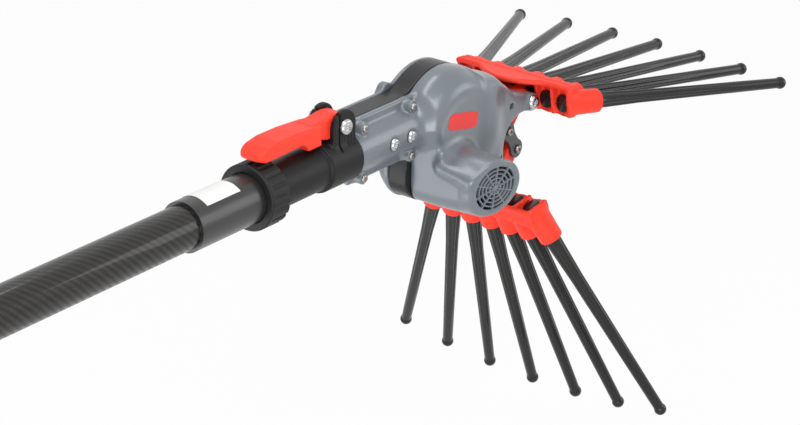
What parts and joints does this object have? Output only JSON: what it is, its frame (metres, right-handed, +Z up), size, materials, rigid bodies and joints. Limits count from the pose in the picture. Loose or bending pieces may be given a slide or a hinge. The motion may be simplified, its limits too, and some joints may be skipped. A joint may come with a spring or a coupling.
{
  "type": "electric olive harvester head",
  "caption": "Electric olive harvester head with two clapping combs of black tines on the clamped top section of a carbon pole.",
  "frame": {"origin": "centre of the carbon pole's lower end, at the mouth of the joint socket", "axes": "+X up the pole to the head, +Z up with the lever on top, -Y towards the motor side"},
  "size_m": [1.0025, 0.31, 0.3824],
  "materials": {
    "carbon": "clear-coated carbon twill",
    "alloy": "satin",
    "black_plastic": "fine grain",
    "label": "blank printed film",
    "rubber": "matt",
    "red_plastic": "moulded, half gloss",
    "steel": "zinc plated",
    "grey_paint": "gloss blue-grey paint on cast alloy",
    "black_frame": "half gloss",
    "badge": "plain red label",
    "iron": "sintered",
    "copper": "wound wire",
    "bronze": "turned",
    "dark_metal": "dark grey",
    "tine_black": "half gloss"
  },
  "bodies": {
    "pole": {"carbon_tube": "carbon", "joint_socket": "alloy", "end_sleeve": "black_plastic", "sleeve_label": "label", "clamp_body": "black_plastic", "clamp_pad": "rubber", "lever_bolt": "steel", "lever_nut": "steel"},
    "ring": {"ring_nut": "black_plastic"},
    "lever": {"cam_lever": "red_plastic"},
    "head": {"inner_tube": "carbon", "lead_grommet": "rubber", "front_shell": "grey_paint", "middle_frame": "black_frame", "rear_shell": "grey_paint", "shell_screws": "steel", "neck_bolts": "steel", "neck_nuts": "steel", "blank_badge": "badge", "motor_can": "steel", "motor_magnets": "iron", "motor_bearings": "steel", "crank_bearings": "steel", "rod_guide": "bronze", "pivot_bolts": "steel", "pivot_nuts": "steel"},
    "rotor": {"armature": "copper", "motor_shaft": "steel", "cooling_fan": "black_plastic", "pinion": "steel"},
    "crank": {"crank_gear": "steel", "crank_shaft": "steel", "crank_roller": "steel"},
    "rod": {"drive_rod": "steel"},
    "link": {"link_plates": "dark_metal"},
    "upper_comb": {"upper_bar": "red_plastic", "upper_bush": "bronze", "drive_pin": "steel", "upper_tine_1": "tine_black", "upper_tine_2": "tine_black", "upper_tine_3": "tine_black", "upper_tine_4": "tine_black", "upper_tine_5": "tine_black", "upper_tine_6": "tine_black", "upper_tine_7": "tine_black"},
    "lower_comb": {"lower_bar": "red_plastic", "lower_bush": "bronze", "link_bolt": "steel", "lower_tine_1": "tine_black", "lower_tine_2": "tine_black", "lower_tine_3": "tine_black", "lower_tine_4": "tine_black", "lower_tine_5": "tine_black", "lower_tine_6": "tine_black", "lower_tine_7": "tine_black"}
  },
  "joints": [
    {"name": "ring_turn", "type": "hinge", "parent": "pole", "child": "ring", "pos_m": [0.385, 0, 0], "axis": [1, 0, 0], "range_deg": [0, 90]},
    {"name": "lever_flip", "type": "hinge", "parent": "pole", "child": "lever", "pos_m": [0.4815, 0, 0.03245], "axis": [0, 1, 0], "range_deg": [0, 120]},
    {"name": "head_slide", "type": "slide", "parent": "pole", "child": "head", "axis": [1, 0, 0], "range_m": [0, 0.3]},
    {"name": "upper_swing", "type": "hinge", "parent": "head", "child": "upper_comb", "pos_m": [0.734, 0, -0.015], "axis": [0, 1, 0], "range_deg": [-8, 8]},
    {"name": "lower_swing", "type": "hinge", "parent": "head", "child": "lower_comb", "pos_m": [0.7065, 0, -0.085], "axis": [0, 1, 0], "range_deg": [-8, 8]},
    {"name": "link_swing", "type": "hinge", "parent": "upper_comb", "child": "link", "pos_m": [0.71305, 0, -0.0395], "axis": [0, 1, 0], "range_deg": [-8, 8]},
    {"name": "rod_slide", "type": "slide", "parent": "head", "child": "rod", "axis": [0.9683, 0, -0.2497], "range_m": [-0.0042, 0.0042]},
    {"name": "crank_turn", "type": "hinge", "parent": "head", "child": "crank", "pos_m": [0.62635, 0, -0.01714], "axis": [0, 1, 0], "range_deg": [-51, 51]},
    {"name": "rotor_turn", "type": "hinge", "parent": "head", "child": "rotor", "pos_m": [0.616, 0, -0.049], "axis": [0, 1, 0], "range_deg": [-230, 230]}
  ],
  "couplings": [
    {"joint": "lower_swing", "follows": "upper_swing", "ratio": -1},
    {"joint": "link_swing", "follows": "upper_swing", "ratio": -1},
    {"joint": "rod_slide", "follows": "upper_swing", "m_per_rad": -0.028956},
    {"joint": "crank_turn", "follows": "upper_swing", "ratio": -6.25},
    {"joint": "rotor_turn", "follows": "upper_swing", "ratio": 28.646}
  ]
}
